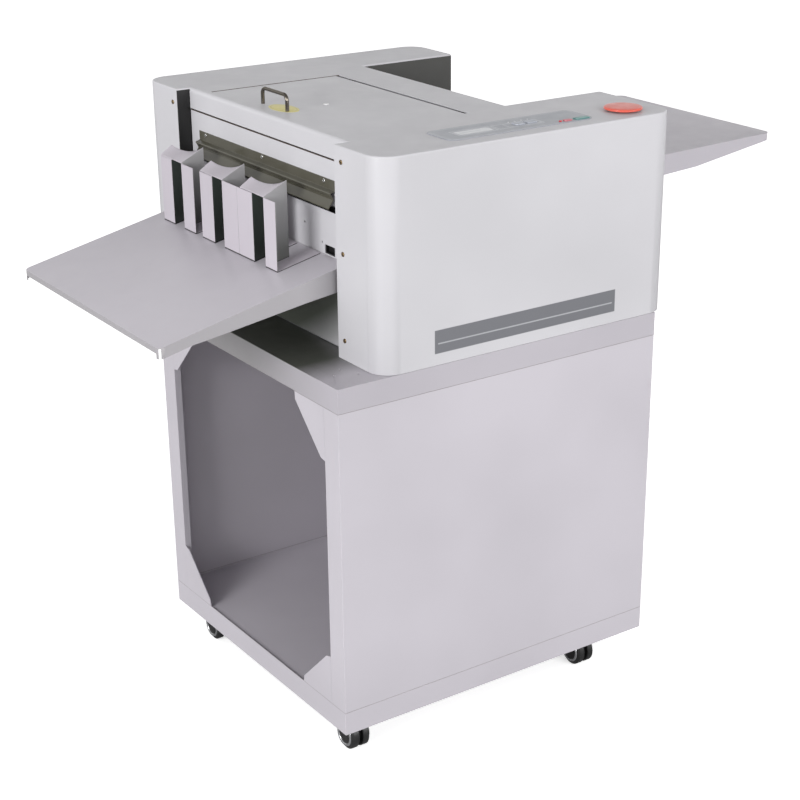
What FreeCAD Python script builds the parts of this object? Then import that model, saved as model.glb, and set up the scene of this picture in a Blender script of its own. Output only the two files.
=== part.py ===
import FreeCAD, Part
import math
import os
import Sketcher

# Motorised sheet-fed card cutter on a caster stand.
# Millimetres, +Z up. X runs along the paper path: the paper enters at +X and the cut cards leave at -X.
# The operator stands at -Y. The origin is the middle of the footprint, on the floor.

os.makedirs("parts", exist_ok=True)
doc = FreeCAD.newDocument("CardCutter")
V = FreeCAD.Vector

# ---------------------------------------------------------------- driving dimensions
sheet = doc.addObject("Spreadsheet::Sheet", "Dims")
values = {
    "steel": 1.5,             # thickness of the folded sheet steel
    "stand_left": -407,       # open front of the stand
    "stand_right": 193,
    "stand_near": -353,
    "stand_far": 199,
    "skirt_bottom": 50,       # lower edge of the stand, carried by the casters
    "skirt_top": 89,
    "floor_top": 86.5,        # the stand's floor lies a little below the rim of its skirt
    "slab_bottom": 582,
    "slab_top": 620,
    "post_width": 39,
    "post_lip": 12,
    "wheel_radius": 25,
    "wheel_half": 17,         # half the width of a twin wheel
    "wheel_trail": 20.5,      # wheel axle behind the swivel axis
    "caster_front": -369,
    "caster_rear": 87,
    "caster_near": -293.5,
    "caster_far": 139.5,
    "hood_front": -332,
    "hood_rear": 217,
    "hood_half": 353,         # half the width of the head
    "hood_bottom": 620.5,
    "hood_top": 941,
    "hood_corner": 35,
    "hood_bend": 7,           # rounded lip over the outfeed recess
    "hood_fold": 2.5,         # the sharper folds round the rest of the top
    "recess_face": -309,      # plane of the outfeed side between the front flanges
    "recess_half": 239,
    "recess_top": 908,
    "notch_face": 25,         # inner end of the U-shaped feeder well
    "notch_near": -171,
    "notch_far": 240,
    "frame_half": 220,        # inner face of the side frames
    "frame_steel": 6,
    "paper_height": 832,
    "shaft_x": -207,
    "shaft_gap": 54,          # between the two slitter shafts
    "shaft_radius": 8,
    "disc_radius": 27.5,
    "roller_x": -120,
    "roller_radius": 15,
    "roller_shaft": 5,
    "gear_module": 1.5,
    "gear_near": 230,
    "gear_width": 10,
    "lid_front": -295,
    "lid_axis_x": -60,
    "lid_axis_z": 935,
    "lid_near": -182,
    "lid_far": 187,
    "tray_outer": -621,
    "tray_outer_height": 690.5,
    "tray_slope": 12.4,       # degrees, falling away from the head
    "tray_half": 233,
    "feed_height": 807,       # infeed tray where it meets the head
    "feed_slope": 1.35,       # degrees, rising away from the head
    "feed_end": 621,
    "feed_near": -167,
    "feed_far": 236,
    "bin_face": -388,         # front faces of the card bins
    "bin_top": 848,
    "button_fit": 0.06,
    "bearing_fit": 0.05,
}
for row, (alias, value) in enumerate(values.items(), start=1):
    sheet.set("A%d" % row, str(value))
    sheet.setAlias("A%d" % row, alias)
doc.recompute()


class Dim:
    """A number that remembers the spreadsheet expression it comes from."""

    def __init__(self, value, text=None):
        self.value = float(value)
        self.text = text if text else "(%.6f)" % float(value)

    def _join(self, other, sign, result, swap=False):
        left, right = (other, self) if swap else (self, other)
        return Dim(result, "(%s %s %s)" % (left.text, sign, right.text))

    def __add__(self, other):
        other = dim(other)
        return self._join(other, "+", self.value + other.value)

    def __radd__(self, other):
        return dim(other) + self

    def __sub__(self, other):
        other = dim(other)
        return self._join(other, "-", self.value - other.value)

    def __rsub__(self, other):
        return dim(other) - self

    def __mul__(self, other):
        other = dim(other)
        return self._join(other, "*", self.value * other.value)

    def __rmul__(self, other):
        return dim(other) * self

    def __truediv__(self, other):
        other = dim(other)
        return self._join(other, "/", self.value / other.value)

    def __neg__(self):
        return dim(-1) * self


def dim(value):
    return value if isinstance(value, Dim) else Dim(value)


class Sheet:
    """Reads the driving dimensions as Dim values."""

    def __getattr__(self, alias):
        return Dim(values[alias], "Dims." + alias)


D = Sheet()


def bind(obj, prop, value):
    """Set a property and tie it to the spreadsheet when it depends on it."""
    value = dim(value)
    if "Dims." in value.text:
        obj.setExpression(prop, value.text)
    elif prop.startswith("Placement.Base."):
        base = obj.Placement.Base
        setattr(base, prop[-1], value.value)
        obj.Placement = FreeCAD.Placement(base, obj.Placement.Rotation)
    else:
        setattr(obj, prop, value.value)


def place(obj, x, y, z):
    for axis, value in zip("xyz", (x, y, z)):
        bind(obj, "Placement.Base." + axis, value)
    return obj


counter = [0]


def name_for(kind):
    counter[0] += 1
    return "%s%03d" % (kind, counter[0])


# ---------------------------------------------------------------- small shape helpers
def box(x, y, z):
    """Box from three (low, high) pairs."""
    obj = doc.addObject("Part::Box", name_for("Box"))
    for prop, (low, high) in zip(("Length", "Width", "Height"), (x, y, z)):
        bind(obj, prop, dim(high) - low)
    return place(obj, x[0], y[0], z[0])


TURN = {
    "X": FreeCAD.Rotation(V(0, 1, 0), 90),
    "Y": FreeCAD.Rotation(V(1, 0, 0), -90),
    "Z": FreeCAD.Rotation(),
}


def rod(axis, a, b, radius, low, high):
    """Cylinder along an axis; a and b are its centre on the other two axes, in X, Y, Z order."""
    obj = doc.addObject("Part::Cylinder", name_for("Rod"))
    obj.Placement = FreeCAD.Placement(V(0, 0, 0), TURN[axis])
    bind(obj, "Radius", radius)
    bind(obj, "Height", dim(high) - low)
    where = {"X": (low, a, b), "Y": (a, low, b), "Z": (a, b, low)}[axis]
    return place(obj, *where)


def fuse(*parts):
    obj = doc.addObject("Part::MultiFuse", name_for("Fuse"))
    obj.Shapes = list(parts)
    obj.Refine = True
    return obj


def group(*parts):
    obj = doc.addObject("Part::Compound", name_for("Group"))
    obj.Links = list(parts)
    return obj


def cut(base, *tools):
    obj = doc.addObject("Part::Cut", name_for("Cut"))
    obj.Base = base
    obj.Tool = tools[0] if len(tools) == 1 else fuse(*tools)
    return obj


def rounded(base, radius, wanted):
    """Fillet the edges picked by wanted(edge)."""
    doc.recompute()
    obj = doc.addObject("Part::Fillet", name_for("Fillet"))
    obj.Base = base
    edges = []
    for number, edge in enumerate(base.Shape.Edges, start=1):
        if wanted(edge):
            edges.append((number, radius, radius))
    obj.Edges = edges
    return obj


def upright(edge):
    return edge.Length > 1e-6 and abs(abs(edge.tangentAt(edge.FirstParameter).z) - 1) < 1e-6


def origin_plane(body, role):
    return [item for item in body.Origin.OriginFeatures if item.Role == role][0]


def outline(body, role, points):
    """Closed polygon sketch on one of the body's own planes, every corner a named dimension."""
    sketch = body.newObject("Sketcher::SketchObject", name_for("Sketch"))
    sketch.AttachmentSupport = [(origin_plane(body, role), "")]
    sketch.MapMode = "FlatFace"
    count = len(points)
    corners = [V(dim(a).value, dim(b).value, 0) for a, b in points]
    for i in range(count):
        sketch.addGeometry(Part.LineSegment(corners[i], corners[(i + 1) % count]), False)
    for i in range(count):
        sketch.addConstraint(Sketcher.Constraint("Coincident", i, 2, (i + 1) % count, 1))
    for i, (a, b) in enumerate(points):
        for kind, value in (("DistanceX", dim(a)), ("DistanceY", dim(b))):
            index = sketch.addConstraint(Sketcher.Constraint(kind, -1, 1, i, 1, value.value))
            if "Dims." in value.text:
                label = "%s%d" % (kind[-1].lower(), i)
                sketch.renameConstraint(index, label)
                sketch.setExpression("Constraints." + label, value.text)
    return sketch


def padded(plane, points, low, high):
    """Body with a polygon in the XY, XZ or YZ plane, padded from low to high along the third axis."""
    body = doc.addObject("PartDesign::Body", name_for("Body"))
    sketch = outline(body, plane + "_Plane", points)
    pad = body.newObject("PartDesign::Pad", name_for("Pad"))
    pad.Profile = sketch
    pad.Reversed = plane == "XZ"
    sketch.Visibility = False
    bind(pad, "Length", dim(high) - low)
    axis = {"XY": "z", "XZ": "y", "YZ": "x"}[plane]
    bind(body, "Placement.Base." + axis, low)
    return body


def turned(axis, points, x, y, z):
    """Body turned about X, Y or Z; points are (along the axis, radius)."""
    body = doc.addObject("PartDesign::Body", name_for("Turned"))
    sketch = outline(body, "XY_Plane", points)
    spin = body.newObject("PartDesign::Revolution", name_for("Spin"))
    spin.Profile = sketch
    spin.ReferenceAxis = (sketch, ["H_Axis"])
    spin.Angle = 360
    rotation = {"X": FreeCAD.Rotation(), "Y": FreeCAD.Rotation(V(0, 0, 1), 90),
                "Z": FreeCAD.Rotation(V(0, 1, 0), -90)}[axis]
    body.Placement = FreeCAD.Placement(V(0, 0, 0), rotation)
    return place(body, x, y, z)


nodes = []


def node(label, obj):
    """Name the finished piece and list it for export."""
    obj.Label = label
    nodes.append(obj)
    return obj


def mirror_pair(points, centre):
    """The same polygon on the other side of a centre line, for (y, z) points."""
    return [(dim(2 * centre) - y, z) for y, z in points]


T = D.steel
near, far = D.stand_near, D.stand_far
left, right = D.stand_left, D.stand_right
stand_middle = (values["stand_near"] + values["stand_far"]) / 2

# ---------------------------------------------------------------- stand


def side_panel(wall, into):
    """Folded side wall; into is +1 for the near panel and -1 for the far one."""
    inside = wall + into * T
    lip = wall + into * D.post_width
    return padded("XY", [
        (left, wall), (right, wall), (right, wall + into * 24), (right - T, wall + into * 24),
        (right - T, inside), (left + T, inside), (left + T, lip - into * T),
        (left + D.post_lip, lip - into * T), (left + D.post_lip, lip), (left, lip)],
        D.skirt_top, D.slab_bottom)


node("stand_near_panel", side_panel(near, 1))
node("stand_far_panel", side_panel(far, -1))
node("stand_back_panel", box((right - 2 * T, right - T), (near + T, far - T), (D.skirt_top, D.slab_bottom)))

swivels = {
    "front_near": (D.caster_front, D.caster_near),
    "front_far": (D.caster_front, D.caster_far),
    "rear_near": (D.caster_rear, D.caster_near),
    "rear_far": (D.caster_rear, D.caster_far),
}
node("stand_base_tray", cut(
    box((left, right), (near, far), (D.skirt_bottom, D.skirt_top)),
    box((left + T, right - T), (near + T, far - T), (D.skirt_bottom - 5, D.floor_top - T)),
    box((left + T, right - T), (near + T, far - T), (D.floor_top, D.skirt_top + 5))))
node("stand_top_slab", cut(
    box((left, right), (near, far), (D.slab_bottom, D.slab_top)),
    box((left + T, right - T), (near + T, far - T), (D.slab_bottom - 5, D.slab_top - T)),
    rod("Z", left + 48.6, near + 69.7, 1.6, D.slab_top - 4, D.slab_top + 2),
    rod("Z", left + 27.6, near + 52.1, 1.6, D.slab_top - 4, D.slab_top + 2),
    rod("Z", left + 60.3, near + 38.4, 1.6, D.slab_top - 4, D.slab_top + 2)))

post = near + D.post_width
upper_gusset = [(post, D.slab_bottom), (near + 120, D.slab_bottom), (near + 119, D.slab_bottom - 13),
                (near + 50.6, D.slab_bottom - 83), (post, D.slab_bottom - 85)]
lower_gusset = [(post, D.skirt_top + 82), (near + 52, D.skirt_top + 78), (near + 120, D.skirt_top + 11),
                (near + 122.7, D.skirt_top), (post, D.skirt_top)]
gussets = []
for profile in (upper_gusset, lower_gusset):
    gussets.append(padded("YZ", profile, left, left + T))
    gussets.append(padded("YZ", mirror_pair(profile, stand_middle), left, left + T))
node("stand_corner_gussets", group(*gussets))

# ---------------------------------------------------------------- casters
stem_radius = 6
stem_bore = stem_radius + D.bearing_fit
rail_top = D.floor_top - T
rails = []
for x in (D.caster_front, D.caster_rear):
    rail = box((x - 31, x + 31), (near + T, far - T), (rail_top - 15.5, rail_top))
    hollow = box((x - 29, x + 29), (near - 5, far + 5), (rail_top - 13.5, rail_top - 2))
    bores = [rod("Z", x, y, stem_bore, rail_top - 17, rail_top - 10) for y in (D.caster_near, D.caster_far)]
    rails.append(cut(rail, hollow, *bores))

plate_top = rail_top - 15.5
plates = []
for x, y in swivels.values():
    plates.append(cut(
        box((x - 29, x + 29), (y - 29, y + 29), (plate_top - 2.5, plate_top)),
        rod("Z", x, y, stem_bore, plate_top - 4, plate_top + 2)))
node("caster_rails_and_plates", group(*rails, *plates))

for key, (x, y) in swivels.items():
    axle_y = y - D.wheel_trail
    wheel_z = D.wheel_radius
    arm = fuse(
        rod("X", axle_y, wheel_z, 17, x - 3, x + 3),
        padded("YZ", [(axle_y - 4, wheel_z + 10), (axle_y + 14, wheel_z - 8), (y + 9, 50), (y + 9, 58),
                      (y - 9, 58)], x - 3, x + 3),
        rod("Z", x, y, 10, 54, plate_top - 2.7),
        rod("Z", x, y, stem_radius, 60, rail_top - 8))
    node("caster_body_" + key, cut(arm, rod("X", axle_y, wheel_z, 4 + D.bearing_fit, x - 5, x + 5)))
    rim = [(D.wheel_half, 0), (D.wheel_half, 16), (D.wheel_half - 1, 21.5), (D.wheel_half - 3.5, wheel_z),
           (4.6, wheel_z), (3.4, wheel_z - 1.2), (3.4, 4)]
    node("caster_wheels_" + key, turned("X", [(-dim(a), r) for a, r in rim] + rim[::-1], x, axle_y, wheel_z))

# ---------------------------------------------------------------- hood and chassis
front, rear, half = D.hood_front, D.hood_rear, D.hood_half
face = D.recess_face
top = D.hood_top


def hood_outline(inset):
    """Outline of the head seen from above, moved inwards by inset."""
    return [
        (front + inset, -half + inset), (rear - inset, -half + inset), (rear - inset, D.notch_near - inset),
        (D.notch_face - inset, D.notch_near - inset), (D.notch_face - inset, D.notch_far + inset),
        (rear - inset, D.notch_far + inset), (rear - inset, half - inset), (front + inset, half - inset),
        (front + inset, D.recess_half + inset), (face + inset, D.recess_half + inset),
        (face + inset, -D.recess_half - inset), (front + inset, -D.recess_half - inset)]


def faces_named(shape, wanted):
    return ["Face%d" % n for n, item in enumerate(shape.Faces, start=1) if wanted(item)]


def edges_named(shape, wanted):
    return ["Edge%d" % n for n, item in enumerate(shape.Edges, start=1) if wanted(item)]


hood_body = padded("XY", hood_outline(0), D.hood_bottom, D.hood_top)
hood_pad = hood_body.Tip
doc.recompute()


def outer_corner(edge):
    return upright(edge) and abs(abs(edge.CenterOfMass.y) - values["hood_half"]) < 0.1


corner_fillet = hood_body.newObject("PartDesign::Fillet", "HoodCorners")
corner_fillet.Base = (hood_pad, edges_named(hood_pad.Shape, outer_corner))
bind(corner_fillet, "Radius", D.hood_corner)
hood_body.Tip = corner_fillet
doc.recompute()


def local_top(edge):
    ends = [vertex.Z for vertex in edge.Vertexes]
    return min(ends) > values["hood_top"] - values["hood_bottom"] - 0.01


def recess_lip(edge):
    return local_top(edge) and all(abs(vertex.X - values["recess_face"]) < 0.01 for vertex in edge.Vertexes)


def other_top(edge):
    return local_top(edge) and not recess_lip(edge)


lip_fillet = hood_body.newObject("PartDesign::Fillet", "HoodLip")
lip_fillet.Base = (corner_fillet, edges_named(corner_fillet.Shape, recess_lip))
bind(lip_fillet, "Radius", D.hood_bend)
hood_body.Tip = lip_fillet
doc.recompute()
rim_fillet = hood_body.newObject("PartDesign::Fillet", "HoodRim")
rim_fillet.Base = (lip_fillet, edges_named(lip_fillet.Shape, other_top))
bind(rim_fillet, "Radius", D.hood_fold)
hood_body.Tip = rim_fillet
doc.recompute()

underside = faces_named(rim_fillet.Shape, lambda item: item.CenterOfMass.z < 0.01)
shell = hood_body.newObject("PartDesign::Thickness", "HoodShell")
shell.Base = (rim_fillet, underside)
bind(shell, "Value", T)
shell.Reversed = True
shell.Mode = 0
shell.Join = 0
hood_body.Tip = shell
doc.recompute()

buttons = {
    # label: (x, y, half length, half width)
    "start_button": (59, -315, 13, 5.5),
    "stop_button": (32, -315, 7, 4),
    "key_down": (-42, -291, 9, 7),
    "key_up": (-20, -291, 9, 7),
}
mushroom = (150, -305)


def rounded_key(x, y, half_x, half_y, z, radius):
    block = box((x - half_x, x + half_x), (y - half_y, y + half_y), z)
    return rounded(block, radius, upright)


key_holes = []
for x, y, half_x, half_y in buttons.values():
    fit = values["button_fit"]
    key_holes.append(rounded_key(x, y, half_x + fit, half_y + fit, (top - 5, top + 3), 2.5 + fit))

hood = cut(
    hood_body,
    box((front - 5, face + 8), (-D.recess_half, D.recess_half), (D.hood_bottom - 5, D.recess_top)),
    box((D.lid_front - 1, D.lid_axis_x + 6.4), (D.lid_near - 1, D.lid_far + 1), (top - 5, top + 5)),
    box((D.notch_face - 5, D.notch_face + 5), (D.notch_near + 2, D.notch_far - 2), (800, 868)),
    box((rear - 6, rear + 6), (-299, -271), (662, 723)),
    rod("Z", mushroom[0], mushroom[1], 11 + D.button_fit, top - 6, top + 3),
    *key_holes)
node("hood", hood)

chamfer = 37
plate_corners = []
for x, dx in ((front + 0.5, 1), (rear - 0.5, -1)):
    for y, dy in ((-half + 0.5, 1), (half - 0.5, -1)):
        triangle = [(x, y), (x + dx * chamfer, y), (x, y + dy * chamfer)]
        plate_corners.append(padded("XY", triangle, D.slab_top - 3, D.slab_top + 5))
node("chassis_base_plate", cut(
    padded("XY", hood_outline(T + 0.05), D.slab_top, D.slab_top + 2), *plate_corners))

frame_in = D.frame_half
frame_out = frame_in + D.frame_steel
lower_z = D.paper_height - D.shaft_gap / 2
upper_z = D.paper_height + D.shaft_gap / 2
nip = 0.3
pinch_z = D.paper_height - nip - D.roller_radius
feed_z = D.paper_height + nip + D.roller_radius
shaft_bearing = 14
roller_bearing = 9
pinion_teeth, slitter_teeth, idler_teeth, feed_teeth = 16, 36, 32, 20
module = values["gear_module"]
pinion_z = lower_z - D.gear_module * (slitter_teeth + pinion_teeth) / 2

# The idler sits above the line between the upper slitter gear and the feed gear.
centre_a = (values["shaft_x"], upper_z.value)
centre_b = (values["roller_x"], feed_z.value)
reach_a = module * (slitter_teeth + idler_teeth) / 2
reach_b = module * (idler_teeth + feed_teeth) / 2
span = math.dist(centre_a, centre_b)
along = (reach_a ** 2 - reach_b ** 2 + span ** 2) / (2 * span)
aside = math.sqrt(reach_a ** 2 - along ** 2)
unit = ((centre_b[0] - centre_a[0]) / span, (centre_b[1] - centre_a[1]) / span)
idler = (centre_a[0] + along * unit[0] - aside * unit[1], centre_a[1] + along * unit[1] + aside * unit[0])

frame_profile = [(-303, 622), (-55, 622), (-55, 800), (-85, 880), (-100, 900), (-290, 900), (-303, 880)]


def frame(low, high):
    plate = padded("XZ", frame_profile, low, high)
    bores = [
        rod("Y", D.shaft_x, lower_z, shaft_bearing, low - 2, high + 2),
        rod("Y", D.shaft_x, upper_z, shaft_bearing, low - 2, high + 2),
        rod("Y", D.roller_x, pinch_z, roller_bearing, low - 2, high + 2),
        rod("Y", D.roller_x, feed_z, roller_bearing, low - 2, high + 2),
        box((-250, -110), (low - 2, high + 2), (650, 735))]
    return cut(plate, *bores)


node("near_side_frame", frame(-frame_out, -frame_in))
node("far_side_frame", frame(frame_in, frame_out))
tie_bars = [
    rod("Y", -285, 640, 7, -frame_in, frame_in),
    rod("Y", -75, 640, 7, -frame_in, frame_in),
    rod("Y", -160, 889, 6, -frame_in, frame_in)]

rings = []
for low, high in ((-frame_out, -frame_in), (frame_in, frame_out)):
    for x, z, outer, inner in (
            (D.shaft_x, lower_z, shaft_bearing, D.shaft_radius), (D.shaft_x, upper_z, shaft_bearing, D.shaft_radius),
            (D.roller_x, pinch_z, roller_bearing, D.roller_shaft), (D.roller_x, feed_z, roller_bearing, D.roller_shaft)):
        rings.append(cut(rod("Y", x, z, outer, low, high),
                         rod("Y", x, z, inner + D.bearing_fit, low - 2, high + 2)))
node("shaft_bearings", group(*rings))

# ---------------------------------------------------------------- outfeed side
panel_thick = T
slot_low, slot_high = 827, 838
socket_y, socket_z = (-198, -170), (760.5, 774.3)
panel_sides = (-235, D.recess_half - 1.8)
node("guard_mount_strip", box((face, face + panel_thick), panel_sides, (slot_high, D.recess_top - 1.5)))
node("front_panel", cut(
    box((face, face + panel_thick), panel_sides, (D.slab_top + 2, slot_low)),
    box((face - 5, face + 5), socket_y, socket_z),
    rod("X", -114, 796, 1.8, face - 5, face + 5),
    rod("X", -163, 776, 1.6, face - 5, face + 5)))
socket_floor = 7    # depth of the socket behind the panel's outer face
node("signal_socket", cut(
    box((face + panel_thick, face + socket_floor + 4),
        (socket_y[0] - 3, socket_y[1] + 3), (socket_z[0] - 3, socket_z[1] + 3)),
    box((face - 5, face + socket_floor),
        (socket_y[0] + 1.5, socket_y[1] - 1.5), (socket_z[0] + 1.5, socket_z[1] - 1.5))))

guard_low, guard_high = -203, 210
node("exit_guard", padded("XZ", [
    (face, 876.5), (face - 1.2, 876.5), (face - 1.2, 861.5), (face - 8.5, 859.2), (face - 9.3, 857.6),
    (face - 5.2, 851.5), (face - 4.6, 848.5), (face - 12.8, 837.2), (face - 12.4, 835.4), (face - 11.2, 835.6),
    (face - 3.2, 848.0), (face - 3.8, 851.8), (face - 7.4, 857.4), (face - 7.2, 858.2), (face, 860.2)],
    guard_low, guard_high))

slope = math.tan(math.radians(values["tray_slope"]))


def tray_top(x):
    """Height of the outfeed tray's upper face at a given x."""
    return D.tray_outer_height + (dim(x) - D.tray_outer) * slope


tray_back = face - 0.5
skirt = [(-330, 36), (-381, 31), (-509, 21.6), (-569, 16.5)]
outer_profile = [(D.tray_outer, tray_top(D.tray_outer)), (tray_back, tray_top(tray_back)),
                 (tray_back, tray_top(tray_back) - 36)]
outer_profile += [(x, tray_top(x) - depth) for x, depth in skirt]
outer_profile += [(D.tray_outer, tray_top(D.tray_outer) - 16.5)]
inner_left, inner_right = D.tray_outer + T, tray_back - T
inner_profile = [(inner_left, tray_top(inner_left) - T), (inner_right, tray_top(inner_right) - T),
                 (inner_right, 600), (inner_left, 600)]
tray_block = padded("XZ", outer_profile, -D.tray_half, D.tray_half)


def tray_corner(edge):
    return upright(edge) and edge.CenterOfMass.x < values["tray_outer"] + 1


node("outfeed_tray", cut(
    rounded(tray_block, 9, tray_corner),
    padded("XZ", inner_profile, -D.tray_half + T, D.tray_half - T),
    box((D.tray_outer - 2, D.tray_outer + 2), (-D.tray_half + 9, D.tray_half - 9),
        (D.tray_outer_height - 30, D.tray_outer_height - 9))))

# ---------------------------------------------------------------- card bins
wall = 1.2
bin_depth = 40
bin_base_end = -313
face_x = D.bin_face
sole = 0.06
wing_lift = 0.4     # a deflector passes this far above the neighbouring separator
wing_rise = 19      # and climbs by this much along its wall


def bin_sheet(low, high, wall_side, winged):
    """One bent separator: a face towards the operator's end, one wall, a foot and, if winged, a deflector."""
    wall_y = (low, low + wall) if wall_side < 0 else (high - wall, high)
    foot_left, foot_right = face_x + wall, dim(bin_base_end)
    foot = padded("XZ", [
        (foot_left, tray_top(foot_left) + sole), (foot_right, tray_top(foot_right) + sole),
        (foot_right, tray_top(foot_right) + sole + wall), (foot_left, tray_top(foot_left) + sole + wall)],
        low, high)
    front_top = D.bin_top + (wing_lift + wall if winged else 0)
    rear_top = front_top + (wing_rise if winged else 0)
    side = padded("XZ", [
        (face_x, tray_top(face_x) + sole), (face_x + bin_depth, tray_top(face_x + bin_depth) + sole),
        (face_x + bin_depth, rear_top), (face_x, front_top)], wall_y[0], wall_y[1])
    front_sheet = box((face_x, face_x + wall), (low, high), (tray_top(face_x + wall) + sole, D.bin_top))
    pieces = [foot, side, front_sheet]
    if winged:
        pieces.append(wing(high - wall))
    return fuse(*pieces)


def wing(start):
    """Twisted deflector: level along its front edge, rising towards the wall at the back."""
    x0 = values["bin_face"]
    z0 = values["bin_top"] + wing_lift
    front_edge = Part.Arc(V(x0, start, z0), V(x0, start + 35, z0 + 0.5), V(x0, start + 70, z0 + 0.5))
    rear_edge = Part.Arc(V(x0 + bin_depth, start, z0 + wing_rise), V(x0 + 30, start + 35, z0 + 8),
                         V(x0 + 20.5, start + 71, z0 + 13))
    feature = doc.addObject("Part::Feature", name_for("Wing"))
    feature.Shape = Part.makeRuledSurface(front_edge.toShape(), rear_edge.toShape()).extrude(V(0, 0, wall))
    return feature


bins = {
    # label: (low y, high y, side of the wall, winged)
    "separator_1": (161, 198, -1, False),
    "separator_2": (90, 128, 1, True),
    "separator_3": (27, 67, -1, False),
    "separator_4": (-50, -4, 1, True),
    "separator_5": (-96, -50.4, -1, False),
    "separator_6": (-163, -129.5, 1, True),
}
for label, (low, high, wall_side, winged) in bins.items():
    node(label, bin_sheet(low, high, wall_side, winged))

# ---------------------------------------------------------------- infeed side
feed_tan = math.tan(math.radians(values["feed_slope"]))


def feed_top(x):
    """Height of the infeed tray's upper face at a given x."""
    return D.feed_height + (dim(x) - D.notch_face) * feed_tan


table_left = dim(-94)
root = D.notch_face + 0.2
feed_block = padded("XZ", [
    (root, feed_top(root)), (D.feed_end, feed_top(D.feed_end)), (D.feed_end, feed_top(D.feed_end) - 12),
    (445, feed_top(445) - 32.6), (373, feed_top(373) - 35), (root, feed_top(root) - 35)], D.feed_near, D.feed_far)


def feed_corner(edge):
    return upright(edge) and edge.CenterOfMass.x > values["feed_end"] - 1


feed_left, feed_right = root + T, D.feed_end - T
feed_shell = cut(
    rounded(feed_block, 14, feed_corner),
    padded("XZ", [(feed_left, feed_top(feed_left) - T), (feed_right, feed_top(feed_right) - T),
                  (feed_right, 700), (feed_left, 700)], D.feed_near + T, D.feed_far - T))
feed_tongue = padded("XZ", [
    (table_left, feed_top(table_left) - T), (root + 1, feed_top(root + 1) - T), (root + 1, feed_top(root + 1)),
    (table_left, feed_top(table_left))], D.feed_near + 2, D.feed_far - 20)
node("infeed_tray", fuse(feed_shell, feed_tongue))

node("feeder_well_liners", group(
    box((D.notch_face + 0.2, rear - 1), (D.notch_far - T, D.notch_far), (775, 938)),
    box((D.notch_face + 0.2, rear - 1), (D.notch_near, D.notch_near + T), (775, 938))))

guide_lift = 0.06
feed_middle = (values["feed_near"] + values["feed_far"]) / 2


def feed_guide(side):
    """L-shaped side guide standing on the infeed tray."""
    outer = feed_middle + side * 150
    ends = (dim(48), dim(200))
    foot = padded("XZ", [
        (ends[0], feed_top(ends[0]) + guide_lift), (ends[1], feed_top(ends[1]) + guide_lift),
        (ends[1], feed_top(ends[1]) + guide_lift + T), (ends[0], feed_top(ends[0]) + guide_lift + T)],
        min(outer, outer + side * 22), max(outer, outer + side * 22))
    fence = padded("XZ", [
        (ends[0], feed_top(ends[0]) + guide_lift), (ends[1], feed_top(ends[1]) + guide_lift),
        (ends[1], feed_top(ends[1]) + 34), (ends[0], feed_top(ends[0]) + 34)],
        min(outer, outer + side * T.value), max(outer, outer + side * T.value))
    return fuse(foot, fence)


node("feed_guide_near", feed_guide(-1))
node("feed_guide_far", feed_guide(1))

paper_guide = cut(
    fuse(box((-297, -96), (-frame_in, frame_in), (D.paper_height - 2.1, D.paper_height - 0.9)),
         box((-97.2, -96), (-frame_in, frame_in), (809, D.paper_height - 0.9))),
    box((D.shaft_x - 14, D.shaft_x + 14), (-190, 190), (820, 840)),
    box((D.roller_x - 10, D.roller_x + 10), (-165, 165), (820, 840)))
node("frame_cross_members", group(*tie_bars, paper_guide))

# ---------------------------------------------------------------- lid
axis_x, axis_z = D.lid_axis_x, D.lid_axis_z
lid_z = (top - 2, top - 0.5)
ears = (-150, 155)
ear_parts = []
for y in ears:
    ear_parts.append(box((axis_x - 12, axis_x), (y - 2, y + 2), (axis_z - 3, lid_z[0] + 0.2)))
    ear_parts.append(rod("Y", axis_x, axis_z, 3.7, y - 2, y + 2))
lid_plate = rounded(box((D.lid_front, axis_x), (D.lid_near, D.lid_far), lid_z), 4, lambda edge: upright(
    edge) and edge.CenterOfMass.x < values["lid_front"] + 1)
pin_bores = [rod("Y", axis_x, axis_z, 2 + D.bearing_fit, y - 4, y + 4) for y in ears]
node("access_lid", cut(fuse(lid_plate, *ear_parts), *pin_bores))

brackets = []
for y, side in zip(ears, (-1, 1)):
    low, high = sorted((y + side * 2.3, y + side * 5.3))
    brackets.append(fuse(
        box((axis_x - 3.7, axis_x + 20), (low, high), (axis_z - 9, axis_z - 3)),
        rod("Y", axis_x, axis_z, 3.7, low, high),
        box((axis_x - 3.7, axis_x + 3.7), (low, high), (axis_z - 6, axis_z)),
        box((axis_x + 9, axis_x + 20), (low, high), (axis_z - 6, top - T)),
        rod("Y", axis_x, axis_z, 2, *sorted((y - side * 4, y + side * 5.3)))))
rest_strip = fuse(
    box((D.lid_front - 6.8, D.lid_front - 1.2), (-150, 155), (top - T - 1.6, top - T)),
    box((D.lid_front - 6.8, D.lid_front + 9), (-150, 155), (top - T - 3, top - T - 1.6)),
    box((D.lid_front - 2.5, D.lid_front + 9), (-150, 155), (top - T - 3, lid_z[0] - 0.02)))
node("lid_supports", group(*brackets, rest_strip))

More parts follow.
